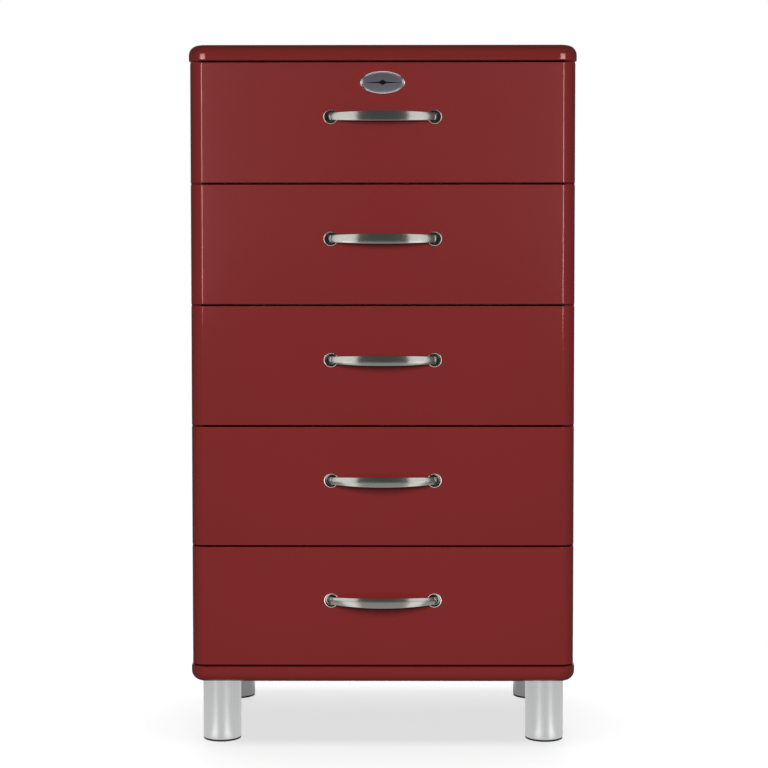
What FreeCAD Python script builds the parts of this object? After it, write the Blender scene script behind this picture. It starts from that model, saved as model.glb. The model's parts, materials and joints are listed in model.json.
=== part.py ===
import FreeCAD, Part
import os
import re

import Sketcher

# A five-drawer chest: lacquered carcass on four metal legs, drawers on ball-bearing runners.
# World frame: millimetres, +Z up, drawer fronts face -Y, origin on the floor under the middle
# of the bounding box. Drawer pieces are drawn once, in a drawer's own frame: its origin is the
# bottom centre of the front's face and +Y points into the cabinet. Each drawer is placed copies.

DRAWERS = 5
BALLS_PER_ROW = 4
SIDES = {"left": -1, "right": 1}

DIMENSIONS = {
    # carcass
    "overall_width": 600,
    "overall_depth": 410,
    "panel_thickness": 25,
    "panel_corner_radius": 28,
    "panel_round_radius": 15,
    "panel_edge_break": 2.5,
    "side_thickness": 16,
    "back_thickness": 3,
    "back_inset": 12,
    "groove_depth": 6,
    "groove_play": 0.2,
    "cam_diameter": 15,
    "cam_play": 0.2,
    "cam_depth": 12.5,
    "cam_from_end": 34,
    "cam_from_edge": 60,
    "bolt_diameter": 6,
    "bolt_channel": 7.6,
    "bolt_grip": 11,
    # legs
    "leg_length": 102,
    "leg_diameter": 60,
    "leg_wall": 1.5,
    "leg_web": 3,
    "leg_web_drop": 8,
    "leg_from_side": 44,
    "leg_from_front": 65.5,
    "leg_spacing": 284,
    "glide_thickness": 3,
    "glide_plug": 8,
    "glide_diameter": 59,
    "glide_wall": 2.5,
    "glide_play": 0.1,
    "plate_diameter": 54,
    "plate_thickness": 3,
    "stud_diameter": 8,
    "stud_length": 20,
    "stud_play": 0.1,
    "leg_screw_circle": 38,
    "leg_screw_shank": 4,
    "leg_screw_head": 7.6,
    "leg_screw_sink": 1.8,
    "leg_screw_length": 18,
    # drawer fronts
    "gap": 3,
    "front_width": 595,
    "front_height": 184,
    "front_thickness": 22,
    "front_corner_radius": 20,
    "front_edge_break": 0.8,
    "front_setback": 2.5,
    "bumper_gap": 1.5,
    # drawer boxes
    "board_thickness": 12,
    "box_depth": 355,
    "box_height": 130,
    "box_lift": 20,
    "bottom_thickness": 3,
    "bottom_lift": 12,
    "bottom_play": 0.5,
    # runners
    "rail_space": 12.7,
    "rail_length": 350,
    "rail_wall": 1.2,
    "rail_setback": 2,
    "rail_from_bottom": 85,
    "outer_rail_height": 35,
    "outer_rail_width": 9.7,
    "inner_rail_height": 21,
    "inner_rail_width": 8,
    "drawer_travel": 262,
    "cage_length": 86,
    "cage_height": 27.6,
    "cage_wall": 0.8,
    "cage_width": 6.2,
    "cage_offset": 3.2,
    "ball_diameter": 5.2,
    "ball_play": 0.1,
    "ball_offset": 7,
    "ball_pitch": 22,
    # handles
    "handle_pitch": 160,
    "handle_reach": 28,
    "handle_rise": 22,
    "handle_thickness": 4,
    "handle_height": 16,
    "handle_end_height": 12,
    "handle_overhang": 6,
    "handle_end_radius": 5.2,
    "handle_edge_radius": 1.4,
    "handle_from_bottom": 101,
    "neck_diameter": 8,
    "neck_top": 4,
    "boss_diameter": 12,
    "boss_top": 1.5,
    "cup_diameter": 22.5,
    "cup_bowl": 19,
    "cup_depth": 5,
    "cup_wall": 1,
    "cup_rim": 1.2,
    "cup_bowl_radius": 3.4,
    "cup_rim_radius": 0.5,
    "cup_play": 0.1,
    "screw_shank": 4,
    "screw_play": 0.1,
    "screw_grip": 6,
    "screw_head": 8,
    "screw_head_height": 2.5,
    # badge
    "badge_width": 69,
    "badge_height": 35,
    "badge_thickness": 3.5,
    "badge_rim": 2.2,
    "badge_recess": 1.2,
    "badge_bar_width": 44,
    "badge_bar_height": 3,
    "badge_from_bottom": 153,
}

# Places that several pieces share, as formulas over the sheet's aliases.
FACE_Y = "(handle_reach + front_setback - overall_depth) / 2"
PANEL_Y = f"({FACE_Y} - front_setback)"
SIDE_Y = f"({FACE_Y} + front_thickness + bumper_gap)"
SIDE_DEPTH = "(overall_depth - front_setback - front_thickness - bumper_gap)"
SIDE_BOTTOM = "(leg_length + panel_thickness)"
SIDE_HEIGHT = f"({DRAWERS} * front_height + {DRAWERS + 1} * gap)"
SIDE_FACE = "(front_width / 2 - side_thickness)"
BACK_FROM_FRONT = "(overall_depth - back_inset - back_thickness)"
BOX_HALF = f"({SIDE_FACE} - rail_space)"
BOX_INSIDE = f"({BOX_HALF} - board_thickness)"
RAIL_Y = "(front_thickness + bumper_gap + rail_setback)"

UP = FreeCAD.Vector(0, 0, 1)
INWARD = FreeCAD.Vector(0, 1, 0)
RIGHT = FreeCAD.Vector(1, 0, 0)
NEAR = 1e-4

document = FreeCAD.newDocument("chest_of_drawers")
sheet = document.addObject("Spreadsheet::Sheet", "Sizes")
sub_parts = []


def fill_sheet():
    for row, (alias, millimetres) in enumerate(DIMENSIONS.items(), start=1):
        sheet.set(f"A{row}", alias)
        sheet.set(f"B{row}", str(millimetres))
        sheet.setAlias(f"B{row}", alias)
    document.recompute()


def expression(formula):
    """A formula over the aliases as a FreeCAD expression on the sheet."""
    return re.sub(r"[a-z_]+", lambda word: f"Sizes.{word[0]}" if word[0] in DIMENSIONS else word[0],
                  str(formula))


def number(formula):
    return float(sheet.evalExpression(expression(formula)))


def bind(thing, **formulas):
    """Bind properties to formulas; x, y and z are the placement's."""
    for name, formula in formulas.items():
        path = f"Placement.Base.{name}" if name in ("x", "y", "z") else name
        thing.setExpression(path, expression(formula))
    return thing


def sub_part(label, thing):
    """Name the finished piece and put it on the list to be written."""
    thing.Label = label
    sub_parts.append(thing)
    return thing


# ---- primitives and booleans ----

def box(name, length, width, height, x=0, y=0, z=0):
    return bind(document.addObject("Part::Box", name),
                Length=length, Width=width, Height=height, x=x, y=y, z=z)


def centred_box(name, half, width, height, y=0, z=0):
    return box(name, f"2 * ({half})", width, height, f"-({half})", y, z)


def cylinder(name, diameter, length, x=0, y=0, z=0, along=UP):
    piece = document.addObject("Part::Cylinder", name)
    piece.Placement = FreeCAD.Placement(FreeCAD.Vector(), FreeCAD.Rotation(UP, along))
    return bind(piece, Radius=f"({diameter}) / 2", Height=length, x=x, y=y, z=z)


def cut(name, base, *tools):
    piece = document.addObject("Part::Cut", name)
    piece.Base = base
    piece.Tool = tools[0] if len(tools) == 1 else joined(f"{name}_tools", *tools)
    return piece


def joined(name, *pieces):
    fuse = document.addObject("Part::MultiFuse", name)
    fuse.Shapes = list(pieces)
    return fuse


def common(name, *pieces):
    piece = document.addObject("Part::MultiCommon", name)
    piece.Shapes = list(pieces)
    return piece


def group(name, *pieces):
    """Separate solids kept together under one name."""
    compound = document.addObject("Part::Compound", name)
    compound.Links = list(pieces)
    return compound


def mirrored(name, piece, normal=RIGHT):
    mirror = document.addObject("Part::Mirroring", name)
    mirror.Source = piece
    mirror.Normal = normal
    return mirror


def pair(name, right_piece):
    """The piece for the right-hand side with its mirror image for the left."""
    return group(name, right_piece, mirrored(f"{name}_left", right_piece))


# ---- sketched bodies ----

def outline(body, name, plane, corners):
    """A closed polygon on one of the body's origin planes; each corner is two formulas."""
    sketch = body.newObject("Sketcher::SketchObject", name)
    origin_plane = next(f for f in body.Origin.OriginFeatures if f.Role == plane)
    sketch.AttachmentSupport = [(origin_plane, "")]
    sketch.MapMode = "FlatFace"
    points = [FreeCAD.Vector(number(across), number(along), 0) for across, along in corners]
    for start, end in zip(points, points[1:] + points[:1]):
        sketch.addGeometry(Part.LineSegment(start, end), False)
    for line in range(len(points)):
        sketch.addConstraint(Sketcher.Constraint("Coincident", line, 2, (line + 1) % len(points), 1))
    for line, corner in enumerate(corners):
        for kind, formula, axis in zip(("DistanceX", "DistanceY"), corner, (-2, -1)):
            pin(sketch, line, kind, formula, axis)
    return sketch


def pin(sketch, line, kind, formula, axis):
    """Fix one coordinate of a line's start: on an axis where it is 0, else by a bound distance."""
    distance = number(formula)
    if abs(distance) < NEAR:
        sketch.addConstraint(Sketcher.Constraint("PointOnObject", line, 1, axis))
        return
    index = sketch.addConstraint(Sketcher.Constraint(kind, -1, 1, line, 1, distance))
    name = f"{kind}{line}"
    sketch.renameConstraint(index, name)
    bind(sketch, **{f"Constraints.{name}": formula})


def padded(name, plane, corners, length, flipped=False):
    """A body made by padding a polygon."""
    body = document.addObject("PartDesign::Body", name)
    pad = body.newObject("PartDesign::Pad", f"{name}_pad")
    pad.Profile = outline(body, f"{name}_outline", plane, corners)
    pad.Reversed = flipped
    bind(pad, Length=length)
    document.recompute()
    return body


def revolved(name, plane, corners):
    """A body made by turning a polygon about its sketch's vertical axis."""
    body = document.addObject("PartDesign::Body", name)
    sketch = outline(body, f"{name}_outline", plane, corners)
    turn = body.newObject("PartDesign::Revolution", f"{name}_turn")
    turn.Profile = sketch
    turn.ReferenceAxis = (sketch, ["V_Axis"])
    turn.Angle = 360
    document.recompute()
    return body


def rounded(body, name, radius, wanted):
    """Fillet the edges of the body's tip that the test picks."""
    base = body.Tip
    edges = [f"Edge{i}" for i, edge in enumerate(base.Shape.Edges, start=1) if wanted(edge.BoundBox)]
    fillet = body.newObject("PartDesign::Fillet", name)
    fillet.Base = (base, edges)
    bind(fillet, Radius=radius)
    document.recompute()
    return body


def at(low, high, place):
    """True where an edge's extent on one axis is the one place."""
    return abs(low - place) < NEAR and abs(high - place) < NEAR


# ---- carcass ----

def rounded_panel(name, round_side_up):
    """A cover panel: origin at the middle of its front edge, rounded in plan and in section."""
    half = "overall_width / 2"
    corners = [(f"-{half}", 0), (half, 0), (half, "overall_depth"), (f"-{half}", "overall_depth")]
    body = padded(name, "XY_Plane", corners, "panel_thickness")
    depth = number("overall_depth")
    thickness = number("panel_thickness")
    rounded(body, f"{name}_corners", "panel_corner_radius",
            lambda e: at(e.YMin, e.YMax, 0) and at(e.XMin, e.XMax, e.XMin) and e.ZLength > NEAR)
    for suffix, radius, level in (("round", "panel_round_radius", thickness if round_side_up else 0),
                                  ("break", "panel_edge_break", 0 if round_side_up else thickness)):
        rounded(body, f"{name}_{suffix}", radius,
                lambda e, level=level: at(e.ZMin, e.ZMax, level) and not at(e.YMin, e.YMax, depth))
    return body


def cam_places():
    """Name, side, end (0 bottom, 1 top) and distance from the side panel's front edge."""
    for side, sign in SIDES.items():
        for end, level in (("bottom", 0), ("top", 1)):
            for row, along in (("front", "cam_from_edge"), ("rear", f"({SIDE_DEPTH} - cam_from_edge)")):
                yield f"{side}_{end}_{row}", side, sign, level, along


def panel_grooves(name, face_up):
    """Tools that cut a cover panel's back-panel groove and its bolt holes."""
    bottom = "panel_thickness - groove_depth" if face_up else 0
    tools = [centred_box(f"{name}_groove", f"{SIDE_FACE} + groove_depth",
                         "back_thickness + groove_play", "groove_depth", BACK_FROM_FRONT, bottom)]
    for place, side, sign, level, along in cam_places():
        if level == (0 if face_up else 1):
            tools.append(cylinder(f"{name}_bolt_hole_{place}", "bolt_diameter", "bolt_grip",
                                  f"{sign} * ({SIDE_FACE} + side_thickness / 2)",
                                  f"{along} + front_setback + front_thickness + bumper_gap",
                                  "panel_thickness - bolt_grip" if face_up else 0))
    return tools


def top_panel():
    panel = cut("top_panel", rounded_panel("top_board", True), *panel_grooves("top", False))
    return bind(panel, y=PANEL_Y, z=f"{SIDE_BOTTOM} + {SIDE_HEIGHT}")


def bottom_panel():
    tools = panel_grooves("bottom", True)
    for name, x, y in leg_screw_places():
        tools.append(cylinder(f"pilot_{name}", "leg_screw_shank", "leg_screw_length - plate_thickness",
                              x, f"{y} - {PANEL_Y}", 0))
    panel = cut("bottom_panel", rounded_panel("bottom_board", False), *tools)
    return bind(panel, y=PANEL_Y, z="leg_length")


def side_panel(side):
    """A side board: origin at the bottom front edge of its inner face."""
    sign = SIDES[side]
    outer = 0 if sign > 0 else "-side_thickness"
    board = box(f"{side}_board", "side_thickness", SIDE_DEPTH, SIDE_HEIGHT, outer)
    groove_x = 0 if sign > 0 else "-groove_depth"
    tools = [box(f"{side}_groove", "groove_depth", "back_thickness + groove_play", SIDE_HEIGHT, groove_x,
                 f"{SIDE_DEPTH} - back_inset - back_thickness")]
    for place, owner, _, level, along in cam_places():
        if owner == side:
            centre = f"{level} * {SIDE_HEIGHT} + {1 - 2 * level} * cam_from_end"
            start = f"{level} * ({SIDE_HEIGHT} - cam_from_end)"
            tools.append(cylinder(f"cam_pocket_{place}", "cam_diameter", "cam_depth",
                                  0, along, centre, RIGHT * sign))
            tools.append(cylinder(f"bolt_bore_{place}", "bolt_channel", "cam_from_end",
                                  f"{sign} * side_thickness / 2", along, start))
    panel = cut(f"{side}_side_panel", board, *tools)
    return bind(panel, x=f"{sign} * {SIDE_FACE}", y=SIDE_Y, z=SIDE_BOTTOM)


def back_panel():
    """Hardboard that stands on the bottom panel's groove and slides in the sides' grooves."""
    return centred_box("back_panel", f"{SIDE_FACE} + groove_depth - bottom_play", "back_thickness",
                       f"{SIDE_HEIGHT} + 2 * groove_depth - bottom_play",
                       f"{PANEL_Y} + {BACK_FROM_FRONT} + groove_play / 2", f"{SIDE_BOTTOM} - groove_depth")


def cam_locks():
    """Eight cams in the side panels, each with the bolt that it draws tight."""
    pieces = []
    for place, _, sign, level, along in cam_places():
        x = f"{sign} * {SIDE_FACE}"
        y = f"{SIDE_Y} + {along}"
        end = f"{SIDE_BOTTOM} + {level} * {SIDE_HEIGHT}"
        towards = 1 - 2 * level
        centre = f"{end} + {towards} * cam_from_end"
        middle = f"{x} + {sign} * side_thickness / 2"
        disc = cylinder(f"cam_disc_{place}", "cam_diameter - cam_play", "cam_depth",
                        x, y, centre, RIGHT * sign)
        slot = cylinder(f"cam_slot_{place}", "bolt_channel", "cam_diameter",
                        middle, y, centre, UP * -towards)
        pieces.append(cut(f"cam_{place}", disc, slot))
        pieces.append(cylinder(f"bolt_{place}", "bolt_diameter", "bolt_grip + cam_from_end - bolt_channel",
                               middle, y, f"{end} - {towards} * bolt_grip", UP * towards))
    return group("cam_locks", *pieces)


# ---- legs ----

def leg_places():
    for row, steps in (("front", 0), ("rear", 1)):
        for side, sign in SIDES.items():
            yield (f"{row}_{side}", f"{sign} * (overall_width / 2 - leg_from_side)",
                   f"({PANEL_Y} + leg_from_front + {steps} * leg_spacing)")


def leg_screw_places():
    """Four screws on the diagonals of each leg's mounting plate."""
    reach = "leg_screw_circle / 2 * sqrt(0.5)"
    for leg, x, y in leg_places():
        for index, (across, along) in enumerate(((1, 1), (-1, 1), (-1, -1), (1, -1)), start=1):
            yield f"{leg}_{index}", f"({x} + {across} * {reach})", f"({y} + {along} * {reach})"


def leg_tube(name):
    """A round tube with a welded web that the mounting plate's stud screws into."""
    outer = "leg_diameter / 2"
    inner = "leg_diameter / 2 - leg_wall"
    bore = "stud_diameter / 2 + stud_play"
    web_top = "leg_length - leg_web_drop"
    return revolved(name, "XZ_Plane", [
        (inner, "glide_thickness"), (outer, "glide_thickness"), (outer, "leg_length"),
        (inner, "leg_length"), (inner, web_top), (bore, web_top), (bore, f"{web_top} - leg_web"),
        (inner, f"{web_top} - leg_web")])


def leg_glide(name):
    """A plastic foot with a ring that plugs into the tube."""
    plug = "leg_diameter / 2 - leg_wall - glide_play"
    rim = "glide_diameter / 2"
    top = "glide_thickness + glide_plug"
    return revolved(name, "XZ_Plane", [
        (0, 0), (rim, 0), (rim, "glide_thickness"), (plug, "glide_thickness"), (plug, top),
        (f"{plug} - glide_wall", top), (f"{plug} - glide_wall", "glide_thickness"), (0, "glide_thickness")])


def leg_plate(name):
    """A round plate under the cabinet with a threaded stud and four countersunk holes."""
    low = "leg_length - plate_thickness"
    disc = cylinder(f"{name}_disc", "plate_diameter", "plate_thickness", 0, 0, low)
    stud = cylinder(f"{name}_stud", "stud_diameter", "stud_length", 0, 0, f"{low} - stud_length")
    reach = "leg_screw_circle / 2 * sqrt(0.5)"
    holes = []
    for index, (across, along) in enumerate(((1, 1), (-1, 1), (-1, -1), (1, -1)), start=1):
        holes.append(leg_screw(f"{name}_hole_{index}", f"{across} * {reach}", f"{along} * {reach}"))
    return cut(name, joined(f"{name}_blank", disc, stud), *holes)


def leg_screw(name, x, y):
    """A countersunk wood screw pointing up, head flush with the plate's lower face."""
    low = "leg_length - plate_thickness"
    head = document.addObject("Part::Cone", f"{name}_head")
    bind(head, Radius1="leg_screw_head / 2", Radius2="leg_screw_shank / 2", Height="leg_screw_sink",
         x=x, y=y, z=low)
    shank = cylinder(f"{name}_shank", "leg_screw_shank", "leg_screw_length", x, y, low)
    return joined(name, head, shank)


def legs():
    plates = []
    glides = []
    for leg, x, y in leg_places():
        sub_part(f"leg_{leg}", bind(leg_tube(f"leg_{leg}"), x=x, y=y))
        glides.append(bind(leg_glide(f"glide_{leg}"), x=x, y=y))
        plates.append(bind(leg_plate(f"plate_{leg}"), x=x, y=y))
    sub_part("leg_glides", group("leg_glides", *glides))
    sub_part("leg_mounting_plates", group("leg_mounting_plates", *plates))
    screws = [leg_screw(f"leg_screw_{place}", x, y) for place, x, y in leg_screw_places()]
    sub_part("leg_plate_screws", group("leg_plate_screws", *screws))


# ---- drawers, in the drawer's own frame ----

def drawer_front():
    """The lacquered front: rounded vertical edges, cup pockets, screw holes and bottom groove."""
    half = "front_width / 2"
    corners = [(f"-{half}", 0), (half, 0), (half, "front_thickness"), (f"-{half}", "front_thickness")]
    body = padded("front_board", "XY_Plane", corners, "front_height")
    rear = number("front_thickness")
    height = number("front_height")
    rounded(body, "front_corners", "front_corner_radius",
            lambda e: at(e.YMin, e.YMax, 0) and e.ZLength > NEAR)
    rounded(body, "front_breaks", "front_edge_break",
            lambda e: (at(e.ZMin, e.ZMax, 0) or at(e.ZMin, e.ZMax, height))
            and not at(e.YMin, e.YMax, rear))
    tools = [centred_box("front_groove", f"{BOX_INSIDE} + groove_depth", "groove_depth",
                         "bottom_thickness + groove_play", "front_thickness - groove_depth",
                         "box_lift + bottom_lift")]
    for side, sign in SIDES.items():
        x = f"{sign} * handle_pitch / 2"
        tools.append(cylinder(f"cup_pocket_{side}", "cup_bowl + 2 * (cup_wall + cup_play)",
                              "cup_depth + cup_wall", x, 0, "handle_from_bottom", INWARD))
        tools.append(cylinder(f"screw_hole_{side}", "screw_shank + 2 * screw_play", "front_thickness",
                              x, 0, "handle_from_bottom", INWARD))
    return cut("front_piece", body, *tools)


def drawer_sides():
    """Two boards, grooved for the bottom, that butt against the front."""
    board = box("box_side_board", "board_thickness", "box_depth", "box_height",
                BOX_INSIDE, "front_thickness", "box_lift")
    groove = box("box_side_groove", "groove_depth", "box_depth", "bottom_thickness + groove_play",
                 BOX_INSIDE, "front_thickness", "box_lift + bottom_lift")
    return pair("box_sides", cut("box_side", board, groove))


def drawer_back():
    """The back board stands on the bottom, between the sides."""
    low = "(bottom_lift + bottom_thickness)"
    return centred_box("box_back", BOX_INSIDE, "board_thickness", f"box_height - {low}",
                       "front_thickness + box_depth - board_thickness", f"box_lift + {low}")


def drawer_bottom():
    lap = "groove_depth - bottom_play"
    return centred_box("box_bottom", f"{BOX_INSIDE} + {lap}", f"box_depth + {lap}", "bottom_thickness",
                       f"front_thickness - ({lap})", "box_lift + bottom_lift")


def channel(name, web, tips, half_height, wall):
    """A C-shaped rail along the runner's whole length, from its web to its flange tips."""
    inner = f"({web} + {wall})"
    shelf = f"({half_height} - rail_wall)"
    lower = [(web, f"-{half_height}"), (tips, f"-{half_height}"), (tips, f"-{shelf}"), (inner, f"-{shelf}")]
    upper = [(inner, shelf), (tips, shelf), (tips, half_height), (web, half_height)]
    return padded(name, "XZ_Plane", lower + upper, "rail_length", flipped=True)


def cabinet_rail():
    """The outer member, screwed to the side panel, with its flanges towards the drawer."""
    rail = channel("outer_rail", SIDE_FACE, f"{SIDE_FACE} - outer_rail_width", "(outer_rail_height / 2)",
                   "-rail_wall")
    return bind(rail, y=RAIL_Y, z="rail_from_bottom")


def drawer_rails():
    """The inner members, screwed to the drawer's side boards."""
    rail = channel("inner_rail", BOX_HALF, f"{BOX_HALF} + inner_rail_width", "(inner_rail_height / 2)",
                   "rail_wall")
    return pair("drawer_rails", bind(rail, y=RAIL_Y, z="rail_from_bottom"))


def ball_cages():
    """A steel strip on each side that holds eight balls between the two members."""
    web = f"{SIDE_FACE} - cage_offset"
    tips = f"{web} - cage_width"
    inner = f"{web} - cage_wall"
    half = "(cage_height / 2)"
    shelf = f"({half} - cage_wall)"
    strip = padded("cage_strip", "XZ_Plane", [
        (web, f"-{half}"), (tips, f"-{half}"), (tips, f"-{shelf}"), (inner, f"-{shelf}"),
        (inner, shelf), (tips, shelf), (tips, half), (web, half)], "cage_length", flipped=True)
    start = f"({RAIL_Y} + drawer_travel / 2)"
    bind(strip, y=start, z="rail_from_bottom")
    balls = []
    pockets = []
    for level, sign in (("lower", -1), ("upper", 1)):
        z = f"rail_from_bottom + {sign} * (cage_height - cage_wall) / 2"
        for step in range(BALLS_PER_ROW):
            x = f"{SIDE_FACE} - ball_offset"
            y = f"{start} + cage_length / 2 + ({step} - {BALLS_PER_ROW - 1} / 2) * ball_pitch"
            ball = document.addObject("Part::Sphere", f"ball_{level}_{step}")
            balls.append(bind(ball, Radius="ball_diameter / 2", x=x, y=y, z=z))
            pockets.append(cylinder(f"ball_pocket_{level}_{step}", "ball_diameter + 2 * ball_play",
                                    "ball_diameter", x, y, f"{z} - ball_diameter / 2"))
    return pair("ball_cages", group("ball_cage", cut("cage", strip, *pockets), *balls))


def bow_handle():
    """A cast bow, waisted towards its ends, on two stepped round bosses tapped for the screws."""
    outer = "((handle_pitch / 2) ^ 2 + handle_rise ^ 2) / (2 * handle_rise)"
    droop = "((handle_height - handle_end_height) / 2)"
    crown = f"(((handle_pitch / 2) ^ 2 + {droop} ^ 2) / (2 * {droop}))"
    centre = f"({outer} - handle_reach)"
    ring = cut("bow_ring",
               cylinder("bow_outside", f"2 * {outer}", "handle_height", 0, centre, "-handle_height / 2"),
               cylinder("bow_inside", f"2 * ({outer} - handle_thickness)", "handle_height",
                        0, centre, "-handle_height / 2"))
    span = centred_box("bow_span", "handle_pitch / 2 + handle_overhang", "2 * handle_reach",
                       "handle_height", "-handle_reach", "-handle_height / 2")
    crowns = [cylinder(f"bow_crown_{name}", f"2 * {crown}", "2 * handle_reach", 0, "-handle_reach",
                       f"{sign} * ({crown} - handle_height / 2)", INWARD)
              for name, sign in (("top", -1), ("bottom", 1))]
    body = document.addObject("PartDesign::Body", "bow")
    body.BaseFeature = common("bow_strip", ring, span, *crowns)
    document.recompute()
    end = number("handle_pitch / 2 + handle_overhang")
    rounded(body, "bow_ends", "handle_end_radius",
            lambda e: (at(e.XMin, e.XMax, end) or at(e.XMin, e.XMax, -end)) and e.YLength > NEAR)
    rounded(body, "bow_edges", "handle_edge_radius",
            lambda e: not at(e.ZMin, e.ZMax, e.ZMin) or e.XLength > end)
    stems = []
    holes = []
    for side, sign in SIDES.items():
        x = f"{sign} * handle_pitch / 2"
        for name in ("neck", "boss"):
            stems.append(cylinder(f"{name}_{side}", f"{name}_diameter", f"{name}_top + cup_depth",
                                  x, f"-{name}_top", 0, INWARD))
        holes.append(cylinder(f"neck_hole_{side}", "screw_shank + 2 * screw_play", "screw_grip",
                              x, "cup_depth - screw_grip", 0, INWARD))
    handle = cut("handle_piece", joined("bow_on_stems", body, *stems), *holes)
    return bind(handle, z="handle_from_bottom")


def rosettes():
    """Dished cups let into the front, with a thin raised rim, under the handle's necks."""
    rim = "cup_diameter / 2"
    wall = "cup_bowl / 2 + cup_wall"
    bowl = "cup_bowl / 2"
    hole = "screw_shank / 2 + screw_play"
    floor = "cup_depth + cup_wall"
    body = revolved("cup", "XY_Plane", [
        (hole, floor), (wall, floor), (wall, 0), (rim, 0), (rim, "-cup_rim"), (bowl, "-cup_rim"),
        (bowl, "cup_depth"), (hole, "cup_depth")])
    bottom = number("cup_depth")
    front = number("-cup_rim")
    rounded(body, "cup_bowl_round", "cup_bowl_radius",
            lambda e: at(e.YMin, e.YMax, bottom) and e.XLength > number(bowl))
    rounded(body, "cup_rim_round", "cup_rim_radius", lambda e: at(e.YMin, e.YMax, front))
    return pair("cups", bind(body, x="handle_pitch / 2", z="handle_from_bottom"))


def handle_screws():
    head = cylinder("screw_head_disc", "screw_head", "screw_head_height", "handle_pitch / 2",
                    "front_thickness", "handle_from_bottom", INWARD)
    tip = "cup_depth - screw_grip + screw_play"
    shank = cylinder("screw_shank_rod", "screw_shank", f"front_thickness - ({tip})", "handle_pitch / 2",
                     tip, "handle_from_bottom", INWARD)
    return pair("handle_screw_pair", joined("handle_screw", head, shank))


def oval(name, rim, thickness, y):
    """An upright elliptical disc, inset from the badge's outline, standing out towards -Y."""
    ellipse = document.addObject("Part::Ellipse", f"{name}_outline")
    bind(ellipse, MajorRadius=f"badge_width / 2 - {rim}", MinorRadius=f"badge_height / 2 - {rim}")
    disc = document.addObject("Part::Extrusion", name)
    disc.Base = ellipse
    disc.DirMode = "Normal"
    disc.Solid = True
    bind(disc, LengthFwd=thickness)
    disc.Placement = FreeCAD.Placement(FreeCAD.Vector(), FreeCAD.Rotation(UP, -INWARD))
    return bind(disc, y=y)


def badge():
    """A cast oval with a raised rim and a plain raised bar across its recessed field."""
    blank = oval("badge_blank", 0, "badge_thickness", 0)
    field = oval("badge_field", "badge_rim", "badge_recess", "badge_recess - badge_thickness")
    bar = centred_box("badge_bar", "badge_bar_width / 2", "badge_recess", "badge_bar_height",
                      "-badge_thickness + badge_recess / 2", "-badge_bar_height / 2")
    return joined("badge_piece", cut("badge_dish", blank, field), bar)


def drawer_level(drawer):
    """Height of a drawer's own frame; drawer 1 is the top one."""
    return f"{SIDE_BOTTOM} + gap + {DRAWERS - drawer} * (front_height + gap)"


def placed(name, piece, drawer):
    return bind(group(name, piece), y=FACE_Y, z=drawer_level(drawer))


def drawers():
    pieces = {
        "front": drawer_front(), "sides": drawer_sides(), "back": drawer_back(),
        "bottom": drawer_bottom(), "handle": bow_handle(), "rosettes": rosettes(),
        "handle_screws": handle_screws(), "rails": drawer_rails(), "ball_cages": ball_cages(),
    }
    for drawer in range(1, DRAWERS + 1):
        for name, piece in pieces.items():
            label = f"drawer_{drawer}_{name}"
            sub_part(label, placed(label, piece, drawer))
    rails = pair("cabinet_rail_pair", cabinet_rail())
    sub_part("cabinet_runner_rails", group("cabinet_runner_rails", *[
        placed(f"cabinet_rails_{drawer}", rails, drawer) for drawer in range(1, DRAWERS + 1)]))
    sub_part("badge", bind(group("badge", badge()), y=FACE_Y, z=f"{drawer_level(1)} + badge_from_bottom"))


def check(things):
    """Stop if any object failed to recompute or any finished piece is not sound."""
    for thing in things:
        if "Invalid" in thing.State or "Error" in thing.State:
            raise RuntimeError(f"{thing.Label} failed: {thing.State}")
    for piece in sub_parts:
        if piece.Shape.isNull() or not piece.Shape.isValid() or not piece.Shape.Solids:
            raise RuntimeError(f"{piece.Label} is not a sound solid")


def write_parts():
    os.makedirs("parts", exist_ok=True)
    for piece in sub_parts:
        piece.Shape.exportStep(f"parts/{piece.Label}.step")


fill_sheet()
sub_part("top_panel", top_panel())
sub_part("bottom_panel", bottom_panel())
for side_name in SIDES:
    sub_part(f"{side_name}_side_panel", side_panel(side_name))
sub_part("back_panel", back_panel())
sub_part("cam_locks", cam_locks())
legs()
drawers()
document.recompute()
check(document.Objects)
write_parts()
for piece in sub_parts:
    extent = piece.Shape.BoundBox
    print(f"{piece.Label}: {len(piece.Shape.Solids)} solids, {piece.Shape.Volume / 1000:.1f} cm3, "
          f"x {extent.XMin:.1f}..{extent.XMax:.1f}, y {extent.YMin:.1f}..{extent.YMax:.1f}, "
          f"z {extent.ZMin:.1f}..{extent.ZMax:.1f}")
print(f"{len(sub_parts)} sub-parts")
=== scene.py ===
import json
import math

import bmesh
import bpy
from mathutils import Matrix, Vector

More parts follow.
